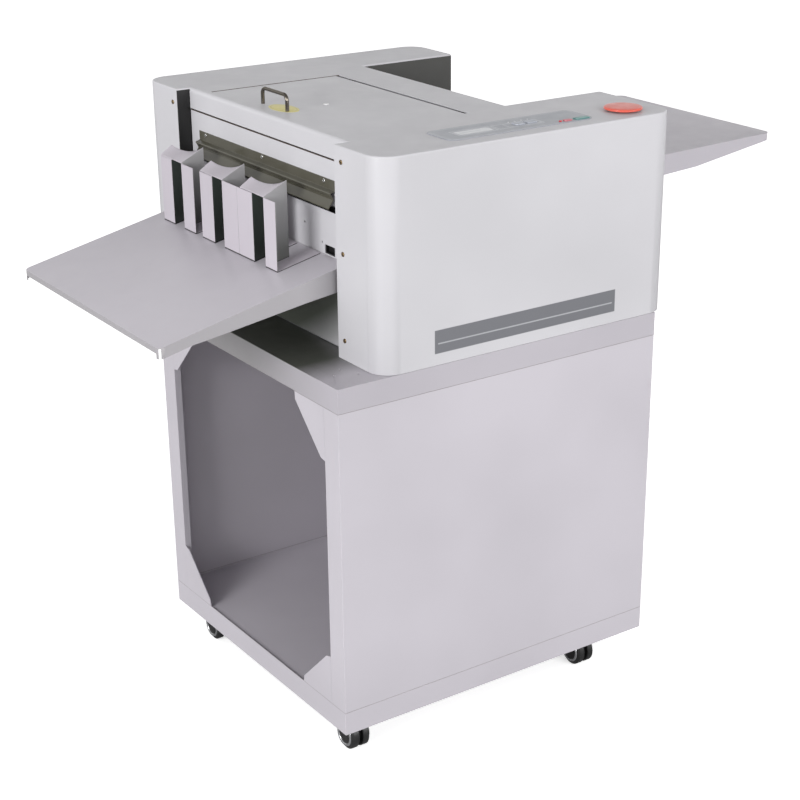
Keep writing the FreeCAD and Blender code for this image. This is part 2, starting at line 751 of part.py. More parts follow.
handle_x = -273
legs = (-12, 62)
handle_rod, handle_bend, handle_rise = 3, 9, 25
handle_top = lid_z[1] + handle_rise
handle_parts = [
    rod("Z", handle_x, legs[0], handle_rod, lid_z[1], handle_top - handle_bend),
    rod("Z", handle_x, legs[1], handle_rod, lid_z[1], handle_top - handle_bend),
    rod("Y", handle_x, handle_top, handle_rod, legs[0] + handle_bend, legs[1] - handle_bend)]
for y, turn in ((legs[0] + handle_bend, 90), (legs[1] - handle_bend, 0)):
    elbow = doc.addObject("Part::Torus", name_for("Elbow"))
    elbow.Radius1 = handle_bend
    elbow.Radius2 = handle_rod
    elbow.Angle3 = 90
    elbow.Placement = FreeCAD.Placement(V(0, 0, 0), FreeCAD.Rotation(V(0, 1, 0), V(0, 0, 1), V(1, 0, 0), "ZXY")
                                        * FreeCAD.Rotation(V(0, 0, 1), turn))
    place(elbow, handle_x, y, handle_top - handle_bend)
    handle_parts.append(elbow)
node("lid_handle", fuse(*handle_parts))

# ---------------------------------------------------------------- control panel and buttons
panel_x, panel_y = (-189, 79), (-324, -255)
panel_holes = []
for x, y, half_x, half_y in buttons.values():
    panel_holes.append(rounded_key(x, y, half_x + fit, half_y + fit, (top - 3, top + 5), 2.5 + fit))
panel_block = rounded(box(panel_x, panel_y, (top, top + 1)), 14, upright)
node("control_panel", cut(
    panel_block, box((-156, -94), (-303, -281), (top + 0.5, top + 3)), *panel_holes))

for label, (x, y, half_x, half_y) in buttons.items():
    cap = rounded_key(x, y, half_x, half_y, (top - 4, top + 2.4), 2.5)
    flange = box((x - half_x - 1, x + half_x + 1), (y - half_y - 1, y + half_y + 1), (top - 4.6, top - 2.6))
    node(label, fuse(cap, flange))

mx, my = mushroom
mushroom_cap = turned("Z", [
    (2.6, 0), (2.6, 28.8), (3.4, 30), (5.0, 30), (6.4, 28.4), (7.0, 22), (7.2, 10), (7.2, 0)], mx, my, top)
node("emergency_stop", fuse(mushroom_cap, rod("Z", mx, my, 11, top - 14, top + 4)))
node("button_electronics", group(
    box((-75, 78), (-324, -282), (top - 10, top - 8.4)),
    box((mx - 20, mx + 20), (my - 20, my + 20), (top - 52, top - 19))))

# ---------------------------------------------------------------- fasteners
screws = []
for y in (-257, 254.5):
    for z in (651, 783, 918):
        screws.append(rod("X", y, z, 3.6, front - 1.6, front))
for y in (188, 6, -175):
    screws.append(rod("X", y, 872, 3.0, face - 2.6, face - 1.2))
node("panel_screws", group(*screws))

# ---------------------------------------------------------------- mains inlet and rocker
rocker_z = 712
node("power_inlet", cut(
    fuse(box((rear - 26, rear), (-299, -271), (662, 723)), box((rear, rear + 2), (-302, -268), (659, 726))),
    box((rear - 18, rear + 4), (-296, -274), (666, 686)),
    box((rear - 16, rear + 3), (-291, -279), (702.5, 721.5)),
    rod("Y", rear - 3, rocker_z, 1.5 + D.bearing_fit, -295.5, -275)))
rocker_body = padded("XZ", [
    (rear - 7, rocker_z - 4), (rear - 7, rocker_z + 4), (rear - 1, rocker_z + 8.6), (rear + 2.6, rocker_z + 8.4),
    (rear + 0.6, rocker_z), (rear + 2.6, rocker_z - 8.4), (rear - 1, rocker_z - 8.6)], -290.8, -279.2)
node("power_rocker", fuse(rocker_body, rod("Y", rear - 3, rocker_z, 1.5, -292.6, -277.4)))

# ---------------------------------------------------------------- cutting and feeding works
cuts = (-129.5, -96, -4, 27, 128, 161)
gear_far = D.gear_near + D.gear_width
disc = 3


def slitter_shaft(z, starts):
    """Shaft with its slitting discs; starts are the discs' near faces."""
    parts = [rod("Y", D.shaft_x, z, D.shaft_radius, -frame_out - 4, gear_far + 2)]
    for y in starts:
        parts.append(cut(rod("Y", D.shaft_x, z, D.disc_radius, y, y + disc),
                         rod("Y", D.shaft_x, z, D.shaft_radius, y - 1, y + disc + 1)))
    return group(*parts)


node("slitter_shaft_upper", slitter_shaft(upper_z, cuts))
node("slitter_shaft_lower", slitter_shaft(lower_z, [y - disc - 0.1 for y in cuts]))

for label, z in (("feed_roller", feed_z), ("pinch_roller", pinch_z)):
    end = gear_far + 2 if label == "feed_roller" else frame_out + 3
    node(label, fuse(
        rod("Y", D.roller_x, z, D.roller_radius, -160, 160),
        rod("Y", D.roller_x, z, D.roller_shaft, -frame_out - 3, end)))


def gear_outline(teeth, phase):
    """Corner points of an involute spur gear; phase is the angle of one tooth's middle."""
    pitch = module * teeth / 2
    pressure = math.radians(20)
    base = pitch * math.cos(pressure)
    tip, root_radius = pitch + 0.95 * module, pitch - 1.2 * module
    backlash = 0.07
    half_pitch = math.pi / (2 * teeth) - backlash / (2 * pitch)
    involute = math.tan(pressure) - pressure

    def half_angle(radius):
        if radius <= base:
            return half_pitch + involute
        angle = math.acos(base / radius)
        return half_pitch + involute - (math.tan(angle) - angle)

    start = max(base, root_radius)
    steps = [start + (tip - start) * k / 4 for k in range(5)]
    points = []
    for tooth in range(teeth):
        middle = phase + 2 * math.pi * tooth / teeth
        flank = [(root_radius, -half_angle(start))] + [(radius, -half_angle(radius)) for radius in steps]
        flank += [(radius, -angle) for radius, angle in reversed(flank)]
        for radius, angle in flank:
            points.append((radius * math.cos(middle + angle), radius * math.sin(middle + angle)))
    return points


def gear(teeth, phase, x, z, bore):
    """Spur gear standing in the XZ plane with its axle along Y."""
    outline_points = [V(a, 0, b) for a, b in gear_outline(teeth, phase)]
    wire = Part.makePolygon(outline_points + [outline_points[0]])
    solid = Part.Face(wire).extrude(V(0, values["gear_width"], 0))
    hole = Part.makeCylinder(bore, values["gear_width"] + 2, V(0, -1, 0), V(0, 1, 0))
    feature = doc.addObject("Part::Feature", name_for("Gear"))
    feature.Shape = solid.cut(hole) if bore else solid
    return place(feature, x, D.gear_near, z)


def meshed_phase(phase_a, teeth_a, teeth_b, direction):
    """Phase of gear b so that it meshes with gear a lying in the given direction from a."""
    offset = (direction - phase_a) * teeth_a / (2 * math.pi)
    return direction + math.pi - 2 * math.pi * (0.5 - offset) / teeth_b


lower_phase = math.radians(90) + math.pi / slitter_teeth
upper_phase = meshed_phase(lower_phase, slitter_teeth, slitter_teeth, math.radians(90))
pinion_phase = meshed_phase(lower_phase, slitter_teeth, pinion_teeth, math.radians(-90))
to_idler = math.atan2(idler[1] - centre_a[1], idler[0] - centre_a[0])
idler_phase = meshed_phase(upper_phase, slitter_teeth, idler_teeth, to_idler)
to_feed = math.atan2(centre_b[1] - idler[1], centre_b[0] - idler[0])
feed_phase = meshed_phase(idler_phase, idler_teeth, feed_teeth, to_feed)

node("slitter_gear_lower", gear(slitter_teeth, lower_phase, D.shaft_x, lower_z, values["shaft_radius"]))
node("slitter_gear_upper", gear(slitter_teeth, upper_phase, D.shaft_x, upper_z, values["shaft_radius"]))
idler_stud = 6
node("feed_idler_gear", gear(
    idler_teeth, idler_phase, idler[0], idler[1], idler_stud + values["bearing_fit"]))
node("feed_gear", gear(feed_teeth, feed_phase, D.roller_x, feed_z, values["roller_shaft"]))
motor_front = gear_far + 8
node("drive_pinion", fuse(
    gear(pinion_teeth, pinion_phase, D.shaft_x, pinion_z, 0),
    rod("Y", D.shaft_x, pinion_z, 4, gear_far - 2, motor_front + 12)))

motor_plate = (motor_front, motor_front + 3)
studs = [(x, z) for x in (-256, -158) for z in (744, 788)]
node("drive_motor", fuse(
    cut(box((-264, -150), motor_plate, (736, 796)),
        rod("Y", D.shaft_x, pinion_z, 4 + D.bearing_fit, motor_front - 5, motor_front + 20)),
    cut(rod("Y", D.shaft_x, pinion_z, 30, motor_front + 3, motor_front + 78),
        rod("Y", D.shaft_x, pinion_z, 4 + D.bearing_fit, motor_front, motor_front + 13))))
node("frame_studs", group(
    rod("Y", idler[0], idler[1], idler_stud, frame_out, gear_far + 2),
    *[rod("Y", x, z, 4.5, frame_out, motor_front) for x, z in studs]))

# ---------------------------------------------------------------- check and export
doc.recompute()
faults = []
for obj in doc.Objects:
    if "Invalid" in obj.State or "Error" in obj.State:
        faults.append("%s %s" % (obj.Name, obj.State))
for obj in nodes:
    shape = obj.Shape
    if shape.isNull() or not shape.isValid() or not shape.Solids:
        faults.append("%s has a bad shape" % obj.Label)
if faults:
    raise RuntimeError("; ".join(faults[:12]))
if len({obj.Label for obj in nodes}) != len(nodes):
    raise RuntimeError("two nodes share a name")
for obj in nodes:
    obj.Shape.exportStep("parts/%s.step" % obj.Label)
print(len(nodes), "nodes exported")
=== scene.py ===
import math

import bmesh
import bpy
from mathutils import Matrix, Vector


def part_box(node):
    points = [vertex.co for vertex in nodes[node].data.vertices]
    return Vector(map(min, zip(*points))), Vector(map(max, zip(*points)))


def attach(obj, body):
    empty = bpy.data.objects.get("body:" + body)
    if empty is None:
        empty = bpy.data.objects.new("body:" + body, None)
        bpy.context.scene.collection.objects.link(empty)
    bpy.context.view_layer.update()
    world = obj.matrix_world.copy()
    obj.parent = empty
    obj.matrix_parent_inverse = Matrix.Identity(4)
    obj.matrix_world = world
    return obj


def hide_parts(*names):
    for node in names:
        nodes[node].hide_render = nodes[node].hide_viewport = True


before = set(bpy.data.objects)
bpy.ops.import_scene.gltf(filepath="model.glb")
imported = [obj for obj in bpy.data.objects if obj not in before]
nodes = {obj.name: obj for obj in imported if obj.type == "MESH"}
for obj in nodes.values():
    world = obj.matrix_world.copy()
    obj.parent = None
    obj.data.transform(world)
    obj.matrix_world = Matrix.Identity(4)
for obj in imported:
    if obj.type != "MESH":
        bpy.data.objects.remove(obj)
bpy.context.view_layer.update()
scene = bpy.context.scene


# ------------------------------------------------------------------ node helpers
class Mat:
    """A small builder for procedural materials in object space (metres)."""

    def __init__(self, name):
        self.mat = bpy.data.materials.new(name)
        self.mat.use_nodes = True
        self.tree = self.mat.node_tree
        self.nodes = self.tree.nodes
        self.bsdf = self.nodes["Principled BSDF"]
        self.coord = self.add("ShaderNodeTexCoord").outputs["Object"]
        self.split = None

    def add(self, kind, **settings):
        node = self.nodes.new(kind)
        for key, value in settings.items():
            setattr(node, key, value)
        return node

    def feed(self, socket, value):
        if isinstance(value, bpy.types.NodeSocket):
            self.tree.links.new(value, socket)
        else:
            socket.default_value = value
        return socket

    def math(self, operation, a, b=0.0):
        node = self.add("ShaderNodeMath", operation=operation)
        self.feed(node.inputs[0], a)
        self.feed(node.inputs[1], b)
        return node.outputs[0]

    def both(self, *masks):
        """1 where every mask is 1."""
        together = masks[0]
        for mask in masks[1:]:
            together = self.math("MULTIPLY", together, mask)
        return together

    def axis(self, letter):
        """Place along X, Y or Z, in metres."""
        if self.split is None:
            self.split = self.add("ShaderNodeSeparateXYZ")
            self.feed(self.split.inputs[0], self.coord)
        return self.split.outputs["XYZ".index(letter)]

    def scaled(self, scale):
        node = self.add("ShaderNodeMapping")
        self.feed(node.inputs["Vector"], self.coord)
        node.inputs["Scale"].default_value = scale
        return node.outputs[0]

    def noise(self, scale, detail=3.0, vector=None, rough=0.5):
        node = self.add("ShaderNodeTexNoise")
        self.feed(node.inputs["Vector"], vector or self.coord)
        node.inputs["Scale"].default_value = scale
        node.inputs["Detail"].default_value = detail
        node.inputs["Roughness"].default_value = rough
        return node.outputs["Fac"]

    def facing(self, letter):
        """X, Y or Z part of the face's own direction, before any bump."""
        direction = self.add("ShaderNodeSeparateXYZ")
        self.feed(direction.inputs[0], self.add("ShaderNodeNewGeometry").outputs["True Normal"])
        return direction.outputs[letter]

    def ramp(self, value, low, high, to_low=0.0, to_high=1.0):
        """Straight ramp from to_low at low to to_high at high, level beyond both."""
        node = self.add("ShaderNodeMapRange", clamp=True)
        for key, item in zip(("Value", "From Min", "From Max", "To Min", "To Max"),
                             (value, low, high, to_low, to_high)):
            self.feed(node.inputs[key], item)
        return node.outputs[0]

    def mix(self, factor, a, b):
        node = self.add("ShaderNodeMix", data_type="RGBA")
        self.feed(node.inputs[0], factor)
        self.feed(node.inputs[6], a)
        self.feed(node.inputs[7], b)
        return node.outputs[2]

    def bump(self, height, strength, distance, under=None):
        node = self.add("ShaderNodeBump")
        node.inputs["Strength"].default_value = strength
        node.inputs["Distance"].default_value = distance
        self.feed(node.inputs["Height"], height)
        if under is not None:
            self.feed(node.inputs["Normal"], under)
        return node.outputs[0]

    def window(self, letter, low, high, soft=0.0004):
        """1 between low and high along an axis, 0 outside."""
        value = self.axis(letter)
        rise = self.ramp(value, low - soft, low + soft)
        fall = self.ramp(value, high - soft, high + soft, 1.0, 0.0)
        return self.math("MULTIPLY", rise, fall)

    def finish(self, color, roughness, normal=None, metallic=0.0, **extra):
        self.feed(self.bsdf.inputs["Base Color"], color)
        self.feed(self.bsdf.inputs["Roughness"], roughness)
        self.bsdf.inputs["Metallic"].default_value = metallic
        if normal is not None:
            self.feed(self.bsdf.inputs["Normal"], normal)
        for key, value in extra.items():
            self.feed(self.bsdf.inputs[key.replace("_", " ")], value)
        return self.mat


def rgb(r, g, b):
    """Linear colour from 0-255 display values."""
    out = []
    for c in (r, g, b):
        c /= 255.0
        out.append(c / 12.92 if c <= 0.04045 else ((c + 0.055) / 1.055) ** 2.4)
    return (*out, 1.0)


def scaled_color(color, factor):
    return tuple(min(1.0, channel * factor) for channel in color[:3]) + (1.0,)


SHEET_GLOSS = 0.45  # specular level of every powder-coated sheet


def powder(name, color, roughness=0.42, grain=650.0, peel=0.35, spread=0.05):
    """Powder-coated sheet: fine orange peel, faint unevenness in tone, and a gloss that varies a little."""
    m = Mat(name)
    broad = m.noise(3.5, 2.0)
    handled = m.noise(28.0, 4.0, rough=0.6)
    specks = m.noise(2400.0, 1.0)
    dark = scaled_color(color, 1 - spread)
    light = scaled_color(color, 1 + spread * 0.6)
    tone = m.mix(m.ramp(broad, 0.35, 0.65), dark, light)
    tone = m.mix(m.ramp(specks, 0.66, 0.72, 0.0, 0.10), tone, dark)
    gloss = m.ramp(handled, 0.3, 0.7, roughness - 0.06, roughness + 0.07)
    fine = m.bump(m.noise(grain, 2.0), peel, 0.00012)
    normal = m.bump(m.noise(9.0, 1.0), 0.10, 0.0015, fine)
    return m, tone, gloss, normal


def painted(name, color, **options):
    m, tone, gloss, normal = powder(name, color, **options)
    return m.finish(tone, gloss, normal, Specular_IOR_Level=SHEET_GLOSS)


def brushed(name, color, along, roughness=0.32, metallic=0.95):
    """Metal with fine scratches running along one axis."""
    m = Mat(name)
    scale = [900.0, 900.0, 900.0]
    scale["XYZ".index(along)] = 14.0
    lines = m.noise(1.0, 3.0, m.scaled(scale), 0.7)
    stain = m.noise(22.0, 4.0)
    dark = scaled_color(color, 0.78)
    tone = m.mix(m.ramp(lines, 0.3, 0.7), dark, color)
    tone = m.mix(m.ramp(stain, 0.55, 0.8, 0.0, 0.25), tone, dark)
    gloss = m.ramp(m.math("ADD", m.math("MULTIPLY", lines, 0.6), m.math("MULTIPLY", stain, 0.4)),
                   0.3, 0.7, roughness - 0.08, roughness + 0.12)
    return m.finish(tone, gloss, m.bump(lines, 0.25, 0.00006), metallic)


def moulded(name, color, roughness=0.45, grain=1500.0, strength=0.3, coat=0.0, spread=0.08):
    """Moulded plastic or rubber with a fine spark texture."""
    m = Mat(name)
    dark = scaled_color(color, 1 - spread)
    tone = m.mix(m.ramp(m.noise(40.0, 3.0), 0.35, 0.7), dark, color)
    gloss = m.ramp(m.noise(55.0, 4.0), 0.3, 0.7, roughness - 0.07, roughness + 0.08)
    return m.finish(tone, gloss, m.bump(m.noise(grain, 2.0), strength, 0.00008), Coat_Weight=coat,
                    Coat_Roughness=0.12)


# ------------------------------------------------------------------ materials
COVER = rgb(197, 196, 200)
STAND = rgb(193, 189, 196)
SLAB = rgb(180, 176, 183)
TRAY = rgb(190, 186, 193)
SEAM_BROWN = rgb(78, 66, 58)

hood_low, hood_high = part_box("hood")
lid_low, lid_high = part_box("access_lid")
strip_low, strip_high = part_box("guard_mount_strip")
slab_low, slab_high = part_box("stand_top_slab")
tray_low, tray_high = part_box("outfeed_tray")
base_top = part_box("stand_base_tray")[1].z


def cover_material():
    """Hood paint: a plain plate on the operator's side, painted shade for the gap by the far flange, a seam
    beside the lid.
    """
    m, tone, gloss, normal = powder("cover_paint", COVER)
    plate_x, plate_z = (-0.238, 0.1065), (0.6385, 0.6745)
    line_x, line_z = (-0.232, 0.1005), (0.6525, 0.6545)
    side = m.ramp(m.axis("Y"), hood_low.y + 0.0002, hood_low.y + 0.0010, 1.0, 0.0)
    plate = m.both(m.window("X", *plate_x), m.window("Z", *plate_z))
    line = m.both(m.window("X", *line_x), m.window("Z", *line_z))
    tone = m.mix(m.both(side, plate), tone, rgb(112, 113, 118))
    tone = m.mix(m.both(side, line), tone, rgb(168, 169, 173))
    # painted shade: a near-black strip on the return wall beside the far flange stands in for the shade in
    # the deep gap there
    outside = m.ramp(m.axis("X"), strip_low.x + 0.0004, strip_low.x + 0.0008, 1.0, 0.0)
    below_top = m.ramp(m.axis("Z"), hood_high.z - 0.0025, hood_high.z - 0.0020, 1.0, 0.0)
    gap_shade_mask = m.both(outside, m.window("Y", strip_high.y + 0.0013, strip_high.y + 0.0028, 0.0001), below_top)
    tone = m.mix(gap_shade_mask, tone, rgb(24, 24, 24))
    seam = m.both(m.window("X", lid_low.x - 0.0020, lid_high.x + 0.0033),
                  m.window("Y", lid_high.y, lid_high.y + 0.0017, 0.0002),
                  m.ramp(m.axis("Z"), hood_high.z - 0.0065, hood_high.z - 0.0060))
    tone = m.mix(seam, tone, SEAM_BROWN)
    return m.finish(tone, gloss, normal, Specular_IOR_Level=SHEET_GLOSS)


def panel_material():
    """Front panel paint: a painted shadow under the tray that fades lighter toward the operator's lower
    corner, brown at the top.
    """
    m, tone, gloss, normal = powder("front_panel_paint", COVER)
    # painted shadow of the outfeed tray: dark grey-green below the tray, fading out toward the operator's
    # lower corner
    corner_y, corner_z = -0.200, slab_high.z
    across = m.math("MULTIPLY", m.math("ADD", m.axis("Y"), -corner_y), 11.0)
    upward = m.math("MULTIPLY", m.math("ADD", m.axis("Z"), -corner_z), 19.2)
    shadow_fade_from_corner = m.ramp(m.math("ADD", across, upward), 0.0, 1.4, 0.15, 1.0)
    tray_shadow_band = m.ramp(m.axis("Z"), tray_high.z - 0.0015, tray_high.z, 1.0, 0.0)
    tone = m.mix(m.both(shadow_fade_from_corner, tray_shadow_band), tone, rgb(84, 88, 80))
    tone = m.mix(m.ramp(m.axis("Z"), strip_high.z - 0.0014, strip_high.z - 0.0011), tone, SEAM_BROWN)
    return m.finish(tone, gloss, normal, Specular_IOR_Level=SHEET_GLOSS)


def stand_material(name, color, seams=(), shaded=False):
    """Stand paint with dark hairlines where sheets meet; shaded paints the outfeed tray's shadow on the top
    and end under the tray.
    """
    m, tone, gloss, normal = powder(name, color)
    for height in seams:
        hairline = m.window("Z", height - 0.0006, height + 0.0003, 0.0003)
        tone = m.mix(m.math("MULTIPLY", hairline, 0.6), tone, rgb(120, 112, 112))
    if shaded:
        # painted shadow of the outfeed tray on the slab's front top strip and, darker toward the far side, on
        # its end face
        depth = m.math("ADD", m.axis("X"), m.math("MULTIPLY", m.axis("Y"), -0.25))
        top = m.both(m.ramp(m.axis("Z"), slab_high.z - 0.0010, slab_high.z - 0.0004),
                     m.ramp(m.axis("Y"), -0.310, -0.235), m.ramp(depth, -0.290, -0.250, 1.0, 0.75))
        tone = m.mix(top, tone, rgb(74, 76, 70))
        tray_shadow_end = m.both(m.ramp(m.axis("X"), slab_low.x + 0.0002, slab_low.x + 0.0008, 1.0, 0.0),
                          m.ramp(m.axis("Y"), -0.335, -0.100, 0.0, 0.62))
        tone = m.mix(tray_shadow_end, tone, rgb(104, 104, 100))
    return m.finish(tone, gloss, normal, Specular_IOR_Level=SHEET_GLOSS)


def tray_material(name, edge_shade_share):
    """Tray paint, with painted shade on the turned-down edges."""
    m, tone, gloss, normal = powder(name, TRAY, roughness=0.36)
    # painted shade: faces that are not turned up are darkened by edge_shade_share
    edge = m.math("MULTIPLY", m.ramp(m.facing("Z"), 0.30, 0.45, 1.0, 0.0), edge_shade_share)
    return m.finish(m.mix(edge, tone, rgb(150, 148, 150)), gloss, normal, Specular_IOR_Level=SHEET_GLOSS)


def separator_material(name, wall_shade_foot, wall_shade_head):
    """Bent sheet for the bins: painted shade on the faces toward the operator, darker at the foot, with a
    black magnet pad along the foot.
    """
    m, tone, gloss, normal = powder(name, rgb(190, 184, 192), roughness=0.38, spread=0.04)
    # painted shade on the faces toward the operator, darkest at the foot and lighter toward the head
    painted_wall_shade = m.mix(m.ramp(m.axis("Z"), 0.765, 0.865), wall_shade_foot, wall_shade_head)
    tone = m.mix(m.ramp(m.facing("Y"), -0.85, -0.75, 1.0, 0.0), tone, painted_wall_shade)
    slope, tray_end_z = math.tan(math.radians(12.4)), 0.6905
    tray = m.math("ADD", m.math("MULTIPLY", m.axis("X"), slope), tray_end_z - tray_low.x * slope)
    above_tray = m.math("SUBTRACT", m.axis("Z"), tray)
    upright = m.ramp(m.math("ABSOLUTE", m.facing("Z")), 0.5, 0.6, 1.0, 0.0)
    pad = m.both(m.ramp(above_tray, 0.0020, 0.0023, 1.0, 0.0), upright)
    return m.finish(m.mix(pad, tone, rgb(22, 22, 24)), gloss, normal, Specular_IOR_Level=SHEET_GLOSS)


def panel_film_material():
    """Printed keypad film: a darker field with pale outlines round the display and the keys."""
    m = Mat("panel_film")
    base = m.mix(m.ramp(m.noise(30.0, 3.0), 0.3, 0.7), rgb(146, 149, 158), rgb(156, 159, 167))

    def area(x0, x1, y0, y1):
        return m.both(m.window("X", x0, x1), m.window("Y", y0, y1))

    field = (-0.182, 0.072, -0.318, -0.261)
    around_display = (-0.160, -0.090, -0.307, -0.277)
    around_keys = ((-0.086, -0.003, -0.305, -0.279), (-0.066, -0.006, -0.301, -0.282))
    line = 0.0009
    tone = m.mix(m.math("MULTIPLY", area(*field), 0.45), base, rgb(112, 117, 128))
    for x0, x1, y0, y1 in (around_display, *around_keys):
        inner = area(x0 + line, x1 - line, y0 + line, y1 - line)
        tone = m.mix(m.math("SUBTRACT", area(x0, x1, y0, y1), inner), tone, rgb(205, 207, 212))
    normal = m.bump(m.noise(1800.0, 1.0), 0.15, 0.00004)
    return m.finish(tone, m.ramp(m.noise(60.0, 3.0), 0.3, 0.7, 0.30, 0.42), normal, Coat_Weight=0.3)


def display_material():
    """Pale display with one darker bar and no characters."""
    m = Mat("display_glass")
    glow = m.mix(m.ramp(m.noise(60.0, 2.0), 0.3, 0.7), rgb(168, 172, 178), rgb(186, 189, 194))
    bar = m.both(m.window("X", -0.150, -0.112), m.window("Y", -0.2935, -0.2905))
    return m.finish(m.mix(m.math("MULTIPLY", bar, 0.5), glow, rgb(96, 104, 112)), 0.12, Coat_Weight=0.6)


materials = {
    "cover": cover_material(),
    "panel": panel_material(),
    "lid": painted("lid_paint", COVER, roughness=0.40),
    "stand": stand_material("stand_paint", STAND, seams=(base_top, slab_low.z)),
    "slab": stand_material("slab_paint", SLAB, seams=(slab_low.z,), shaded=True),
    "tray": tray_material("infeed_paint", 0.0),
    "low_tray": tray_material("outfeed_paint", 0.75),
    "liner": painted("liner_paint", rgb(70, 70, 68), roughness=0.6),
    "guard": painted("guard_lacquer", rgb(84, 82, 72), roughness=0.16, grain=300.0, peel=0.12),
    "bins": separator_material("bin_paint", rgb(38, 44, 40), rgb(66, 76, 70)),
    "winged_bins": separator_material("winged_bin_paint", rgb(104, 105, 103), rgb(172, 171, 173)),
    "film": panel_film_material(),
    "display": display_material(),
    "zinc_x": brushed("zinc_steel", rgb(172, 174, 178), "X", 0.38),
    "zinc_y": brushed("zinc_steel_bars", rgb(172, 174, 178), "Y", 0.36),
    "ground": brushed("ground_steel", rgb(196, 197, 200), "Y", 0.22),
    "gear": brushed("gear_steel", rgb(150, 150, 150), "Y", 0.30),
    "dark_zinc": brushed("blackened_steel", rgb(70, 66, 62), "Y", 0.45, 0.6),
    "chrome": brushed("handle_chrome", rgb(118, 112, 104), "Y", 0.14, 1.0),
    "brass": brushed("screw_brass", rgb(138, 116, 84), "X", 0.28),
    "bright_screw": brushed("screw_nickel", rgb(216, 216, 214), "X", 0.24),
    "rubber": moulded("roller_rubber", rgb(42, 42, 44), 0.62, 900.0, 0.5),
    "wheel": moulded("wheel_plastic", rgb(30, 30, 31), 0.36, 1100.0, 0.25),
    "black": moulded("black_plastic", rgb(26, 26, 27), 0.42),
    "keys": moulded("key_plastic", rgb(176, 180, 189), 0.40),
    "red": moulded("red_plastic", rgb(222, 96, 80), 0.34, 1600.0, 0.15, 0.25, 0.05),
    "stop_key": moulded("stop_key_plastic", rgb(196, 104, 116), 0.36, 1600.0, 0.15, 0.2, 0.05),
    "green": moulded("green_plastic", rgb(84, 138, 134), 0.36, 1600.0, 0.15, 0.2, 0.05),
    "motor": painted("motor_paint", rgb(48, 48, 50), roughness=0.40),
    "board": moulded("circuit_board", rgb(30, 84, 48), 0.38, 700.0, 0.4),
}

CORNERS = ("front_near", "front_far", "rear_near", "rear_far")

finish_of = {
    "hood": "cover", "front_panel": "panel", "guard_mount_strip": "panel", "access_lid": "lid",
    "chassis_base_plate": "zinc_x",
    "stand_near_panel": "stand", "stand_far_panel": "stand", "stand_back_panel": "stand",
    "stand_base_tray": "stand", "stand_top_slab": "slab", "stand_corner_gussets": "stand",
    "caster_rails_and_plates": "zinc_y", "near_side_frame": "zinc_x", "far_side_frame": "zinc_x",
    "frame_cross_members": "zinc_y", "shaft_bearings": "ground", "signal_socket": "black",
    "exit_guard": "guard", "outfeed_tray": "low_tray", "infeed_tray": "tray", "feeder_well_liners": "liner",
    "lid_supports": "dark_zinc", "control_panel": "film",
    "button_electronics": "board", "panel_screws": "brass", "power_inlet": "black", "frame_studs": "ground",
    "drive_motor": "motor", "lid_handle": "chrome", "start_button": "green", "stop_button": "stop_key",
    "emergency_stop": "red", "key_up": "keys", "key_down": "keys", "power_rocker": "black",
    "feed_guide_near": "zinc_x", "feed_guide_far": "zinc_x", "slitter_shaft_lower": "ground",
    "slitter_shaft_upper": "ground", "slitter_gear_lower": "gear", "slitter_gear_upper": "gear",
    "feed_roller": "rubber", "pinch_roller": "rubber", "feed_gear": "gear", "feed_idler_gear": "gear",
    "drive_pinion": "gear",
    **{f"separator_{number}": "winged_bins" if number % 2 == 0 else "bins" for number in range(1, 7)},
    **{f"caster_wheels_{corner}": "wheel" for corner in CORNERS},
    **{f"caster_body_{corner}": "black" for corner in CORNERS},
}
for name, obj in nodes.items():
    obj.data.materials.clear()
    obj.data.materials.append(materials[finish_of[name]])

# ------------------------------------------------------------------ softened edges (millimetres)
soft_edges = {
    "stand_near_panel": 0.7, "stand_far_panel": 0.7, "stand_back_panel": 0.5, "stand_base_tray": 0.8,
    "stand_top_slab": 0.35, "stand_corner_gussets": 0.3, "access_lid": 0.4,
    "outfeed_tray": 0.6, "infeed_tray": 0.6, "exit_guard": 0.3, "emergency_stop": 0.4, "hood": 0.4,
    "start_button": 0.4, "stop_button": 0.4, "key_up": 0.4, "key_down": 0.4, "control_panel": 0.3,
    "power_inlet": 0.4, "power_rocker": 0.3, "drive_motor": 0.6, "signal_socket": 0.3,
}
THIN_SHEET = ("separator", "feed_guide", "caster_body")
for name, obj in nodes.items():
    width = soft_edges.get(name, 0.25 if name.startswith(THIN_SHEET) else 0)
    if not width:
        continue
    weld = obj.modifiers.new("weld", "WELD")
    weld.merge_threshold = 0.00002
    bevel = obj.modifiers.new("edge", "BEVEL")
    bevel.width = width / 1000.0
    bevel.segments = 2
    bevel.limit_method = "ANGLE"
    bevel.angle_limit = math.radians(35)
    bevel.harden_normals = True


# ------------------------------------------------------------------ mesh helpers
def new_object(name, mesh, material, body="machine_body"):
    obj = bpy.data.objects.new(name, mesh)
    scene.collection.objects.link(obj)
    obj.data.materials.append(material)
    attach(obj, body)
    return obj


def from_bmesh(name, bm, material, body="machine_body", smooth=True):
    bmesh.ops.recalc_face_normals(bm, faces=bm.faces)
    mesh = bpy.data.meshes.new(name)
    bm.to_mesh(mesh)
    bm.free()
    for face in mesh.polygons:
        face.use_smooth = smooth
    return new_object(name, mesh, material, body)


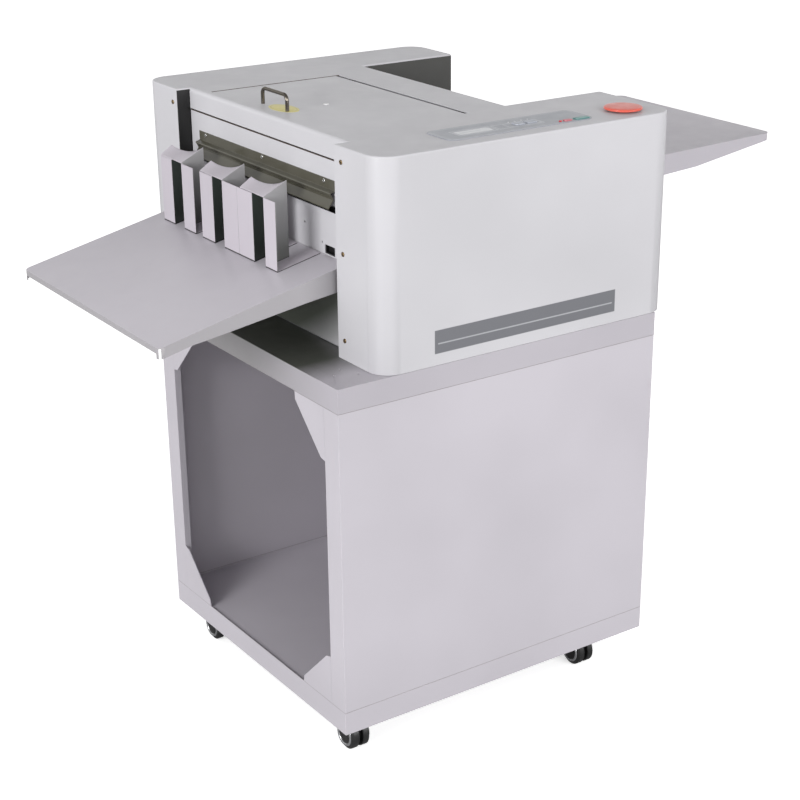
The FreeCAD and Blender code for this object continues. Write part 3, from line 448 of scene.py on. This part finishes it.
def lathe(bm, profile, matrix, steps=48):
    """Closed solid of revolution about local Z, from a profile of (radius, height) points."""
    rings = []
    for radius, height in profile:
        count = steps if radius > 0 else 1
        angles = [2 * math.pi * k / steps for k in range(count)]
        places = [Vector((radius * math.cos(angle), radius * math.sin(angle), height)) for angle in angles]
        rings.append([bm.verts.new(matrix @ place) for place in places])
    for lower, upper in zip(rings, rings[1:]):
        for k in range(steps):
            j = (k + 1) % steps
            if len(lower) == 1 and len(upper) == 1:
                continue
            if len(lower) == 1:
                bm.faces.new((lower[0], upper[j], upper[k]))
            elif len(upper) == 1:
                bm.faces.new((lower[k], lower[j], upper[0]))
            else:
                bm.faces.new((lower[k], lower[j], upper[j], upper[k]))


def facing(axis):
    """Rotation taking local Z to a signed axis such as '-X'."""
    target = Vector({"X": (1, 0, 0), "Y": (0, 1, 0), "Z": (0, 0, 1)}[axis[-1]])
    if axis[0] == "-":
        target = -target
    return Vector((0, 0, 1)).rotation_difference(target).to_matrix().to_4x4()


def rounded_box(bm, low, high, bevel):
    """Box between two corners, with its edges rounded off."""
    low, high = Vector(low), Vector(high)
    matrix = Matrix.Translation((low + high) / 2) @ Matrix.Diagonal((*(high - low), 1.0))
    bmesh.ops.create_cube(bm, size=1.0, matrix=matrix)
    bmesh.ops.bevel(bm, geom=bm.edges[:], offset=bevel, segments=2, affect="EDGES", profile=0.6)


# ------------------------------------------------------------------ screws, with dark bars as painted shade in their cross recesses
def screw_head(bm, centre, radius, height, axis, turn):
    """Pan head with a shallow dish on top."""
    matrix = Matrix.Translation(centre) @ facing(axis) @ Matrix.Rotation(turn, 4, "Z")
    lathe(bm, [(0, 0), (radius, 0), (radius, height * 0.35), (radius * 0.93, height * 0.72),
               (radius * 0.72, height * 0.95), (radius * 0.62, height), (radius * 0.60, height * 0.93),
               (0, height * 0.90)], matrix, 28)


def screw_cross_shade(bm, centre, radius, height, axis, turn):
    """Two dark bars on a screw head, standing in for the shade in its cross recess."""
    size = Matrix.Diagonal((radius * 1.05, radius * 0.2, height * 0.12, 1.0))
    bar = Matrix.Translation((0, 0, height * 0.93)) @ size
    for quarter in (0, math.pi / 2):
        matrix = Matrix.Translation(centre) @ facing(axis) @ Matrix.Rotation(turn + quarter, 4, "Z")
        bmesh.ops.create_cube(bm, size=1.0, matrix=matrix @ bar)


guard_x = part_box("exit_guard")[1].x - 0.0012
flange_rows, flange_heights = (-0.257, 0.2545), (0.651, 0.783, 0.918)
flange_screws = [((hood_low.x, y, z), 0.0036, 0.0016) for y in flange_rows for z in flange_heights]
guard_screws = [((guard_x, y, 0.872), 0.0030, 0.0014) for y in (0.188, 0.006, -0.175)]
heads, guard_heads, cross_shade = bmesh.new(), bmesh.new(), bmesh.new()
for index, (centre, radius, height) in enumerate(flange_screws + guard_screws):
    turn = 0.7 * index
    target = heads if index < len(flange_screws) else guard_heads
    screw_head(target, centre, radius, height, "-X", turn)
    screw_cross_shade(cross_shade, centre, radius, height, "-X", turn)
head_piece = from_bmesh("screw_heads", heads, materials["brass"])
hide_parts("panel_screws")
from_bmesh("guard_screw_heads", guard_heads, materials["bright_screw"])
# painted shade: black bars where the cross recesses would be dark
from_bmesh("screw_recess_shade", cross_shade, materials["black"], smooth=False)

# ------------------------------------------------------------------ lid label and dot
label_at = (-0.265, 0.012)
label_half = (0.019, 0.034)
dot_at, dot_radius = (-0.196, 0.0), 0.0045


def label_material():
    """Yellow oval with a thin darker ring and no words."""
    m = Mat("label_print")
    x = m.math("DIVIDE", m.math("ADD", m.axis("X"), -label_at[0]), label_half[0])
    y = m.math("DIVIDE", m.math("SUBTRACT", m.axis("Y"), label_at[1]), label_half[1])
    radius = m.math("SQRT", m.math("ADD", m.math("MULTIPLY", x, x), m.math("MULTIPLY", y, y)))
    ring = m.both(m.ramp(radius, 0.80, 0.83), m.ramp(radius, 0.88, 0.91, 1.0, 0.0))
    paper = m.mix(m.ramp(m.noise(90.0, 2.0), 0.3, 0.7), rgb(214, 203, 122), rgb(222, 212, 138))
    return m.finish(m.mix(m.math("MULTIPLY", ring, 0.35), paper, rgb(150, 138, 84)), 0.4,
                    m.bump(m.noise(700.0, 2.0), 0.2, 0.00003))


def oval(name, centre, half_x, half_y, thick, material, slot, body):
    """Thin flat oval lying on a surface."""
    bm = bmesh.new()
    matrix = Matrix.Translation(centre) @ Matrix.Diagonal((half_x, half_y, 1.0, 1.0))
    lathe(bm, [(0, 0), (1, 0), (1, thick * 0.7), (0.985, thick), (0, thick)], matrix, 64)
    return from_bmesh(name, bm, material, body)


oval("lid_label", (*label_at, lid_high.z), *label_half, 0.0003, label_material(), "panel_film", "lid")
oval("lid_dot", (*dot_at, lid_high.z), dot_radius, dot_radius, 0.0008,
     moulded("dot_plastic", rgb(236, 236, 236), 0.4), "key_plastic", "lid")

# ------------------------------------------------------------------ casters
chrome_ring = brushed("caster_chrome", rgb(206, 207, 210), "X", 0.16, 1.0)
ring_inner, ring_outer, seated = 0.0148, 0.0194, 0.0008
ring_profile = [(ring_inner, 0), (ring_outer, 0), (ring_outer, 0.0009), (0.0186, 0.0020), (0.0158, 0.0020),
                (ring_inner, 0.0010), (ring_inner, 0)]
cap_profile = [(0, 0), (0.0146, 0), (0.0144, 0.0011), (0.0120, 0.0017), (0, 0.0014)]
for corner in CORNERS:
    low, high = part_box("caster_wheels_" + corner)
    middle = (low + high) / 2
    rings, caps = bmesh.new(), bmesh.new()
    for side, face_x in (("X", high.x - seated), ("-X", low.x + seated)):
        matrix = Matrix.Translation((face_x, middle.y, middle.z)) @ facing(side)
        lathe(rings, ring_profile, matrix, 56)
        lathe(caps, cap_profile, matrix, 56)
    body = "caster_wheel_pair_" + corner
    from_bmesh("caster_ring_" + corner, rings, chrome_ring, body)
    from_bmesh("caster_cap_" + corner, caps, materials["black"], body)

# ------------------------------------------------------------------ control panel details
panel_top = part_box("control_panel")[1].z
stop_lamp_at = (0.0185, -0.315)
status_lamps_x, status_lamps_y = (-0.048, -0.036, -0.024, -0.012), -0.274
window_low, window_high = (-0.156, -0.303), (-0.094, -0.281)

stop_lamp = bmesh.new()
lathe(stop_lamp, [(0, 0), (0.0026, 0), (0.0026, 0.0008), (0.0018, 0.0016), (0, 0.0018)],
      Matrix.Translation((*stop_lamp_at, panel_top)), 24)
lamp_red = moulded("lamp_red", rgb(196, 30, 44), 0.22, 1500.0, 0.1, 0.6)
from_bmesh("stop_lamp", stop_lamp, lamp_red)
status_lamps = bmesh.new()
for x in status_lamps_x:
    lathe(status_lamps, [(0, 0), (0.0013, 0), (0.0013, 0.0002), (0, 0.0003)],
          Matrix.Translation((x, status_lamps_y, panel_top)), 16)
from_bmesh("status_lamps", status_lamps, moulded("lamp_white", rgb(226, 228, 230), 0.3))
window = bmesh.new()
rounded_box(window, (*window_low, panel_top - 0.0005), (*window_high, panel_top - 0.0001), 0.00015)
from_bmesh("display_window", window, materials["display"], smooth=False)

# ------------------------------------------------------------------ floor, light, camera
def floor_material():
    """Near white to the camera, greyer in the light it throws back, and clear when looked at from below."""
    m = Mat("floor_pale")
    seen = m.add("ShaderNodeLightPath").outputs["Is Camera Ray"]
    pale = m.mix(m.noise(1.5, 2.0), rgb(246, 246, 246), rgb(250, 250, 250))
    m.finish(m.mix(seen, rgb(168, 168, 168), pale), 0.9, m.bump(m.noise(60.0, 2.0), 0.05, 0.0005),
             Emission_Color=(1.0, 1.0, 1.0, 1.0), Emission_Strength=m.ramp(seen, 0.0, 1.0, 0.04, 0.62))
    from_below = m.add("ShaderNodeMixShader")
    m.feed(from_below.inputs[0], m.add("ShaderNodeNewGeometry").outputs["Backfacing"])
    m.feed(from_below.inputs[1], m.bsdf.outputs[0])
    m.feed(from_below.inputs[2], m.add("ShaderNodeBsdfTransparent").outputs[0])
    m.feed(m.nodes["Material Output"].inputs["Surface"], from_below.outputs[0])
    return m.mat


reach = 30
floor_mesh = bpy.data.meshes.new("floor")
floor_mesh.from_pydata([(-reach, -reach, 0), (reach, -reach, 0), (reach, reach, 0), (-reach, reach, 0)], [],
                       [(0, 1, 2, 3)])
floor_mesh.materials.append(floor_material())
floor = bpy.data.objects.new("floor", floor_mesh)
scene.collection.objects.link(floor)


def studio_world(horizon, zenith, background):
    """White surround, brighter at the horizon than overhead, evenly bright where the camera sees it."""
    world = bpy.data.worlds.new("studio")
    world.use_nodes = True
    tree = world.node_tree
    place, direction, brightness, light_path, strength = (
        tree.nodes.new(kind) for kind in ("ShaderNodeTexCoord", "ShaderNodeSeparateXYZ", "ShaderNodeMapRange",
                                          "ShaderNodeLightPath", "ShaderNodeMix"))
    brightness.inputs["To Min"].default_value = horizon
    brightness.inputs["To Max"].default_value = zenith
    strength.inputs[3].default_value = background
    shader = tree.nodes["Background"]
    shader.inputs[0].default_value = (1.0, 1.0, 1.0, 1.0)
    for source, target in ((place.outputs["Generated"], direction.inputs[0]),
                           (direction.outputs["Z"], brightness.inputs["Value"]),
                           (light_path.outputs["Is Camera Ray"], strength.inputs[0]),
                           (brightness.outputs[0], strength.inputs[2]),
                           (strength.outputs[0], shader.inputs[1])):
        tree.links.new(source, target)
    return world


scene.world = studio_world(horizon=1.05, zenith=0.30, background=1.1)


def softbox(name, place, target, size, power):
    """White rectangular lamp pointed at a target."""
    light = bpy.data.lights.new(name, "AREA")
    light.shape = "RECTANGLE"
    light.size, light.size_y = size
    light.energy = power
    obj = bpy.data.objects.new(name, light)
    obj.location = place
    obj.rotation_euler = (Vector(target) - Vector(place)).to_track_quat("-Z", "Y").to_euler()
    scene.collection.objects.link(obj)


softbox("key", (0.6, -3.9, 1.7), (0.0, 0.0, 0.6), (2.2, 1.6), 84)
softbox("front_fill", (-3.9, -0.9, 1.5), (0.0, 0.0, 0.5), (1.6, 1.4), 96)

scene.view_settings.view_transform = "Standard"

camera_at = Vector((-1.6121, -2.3013, 1.4978))
right = Vector((0.8142, -0.5806, 0.0)).normalized()
forward = Vector((0.5354, 0.7509, -0.3866)).normalized()
up = right.cross(forward)
right = forward.cross(up)
camera_data = bpy.data.cameras.new("camera")
camera_data.sensor_width = 36.0
camera_data.lens = 77.92
camera_data.shift_x = -0.0541
camera_data.shift_y = 0.0535
camera = bpy.data.objects.new("camera", camera_data)
scene.collection.objects.link(camera)
turn = Matrix((right, up, -forward)).transposed().to_4x4()
camera.matrix_world = Matrix.Translation(camera_at) @ turn
scene.camera = camera
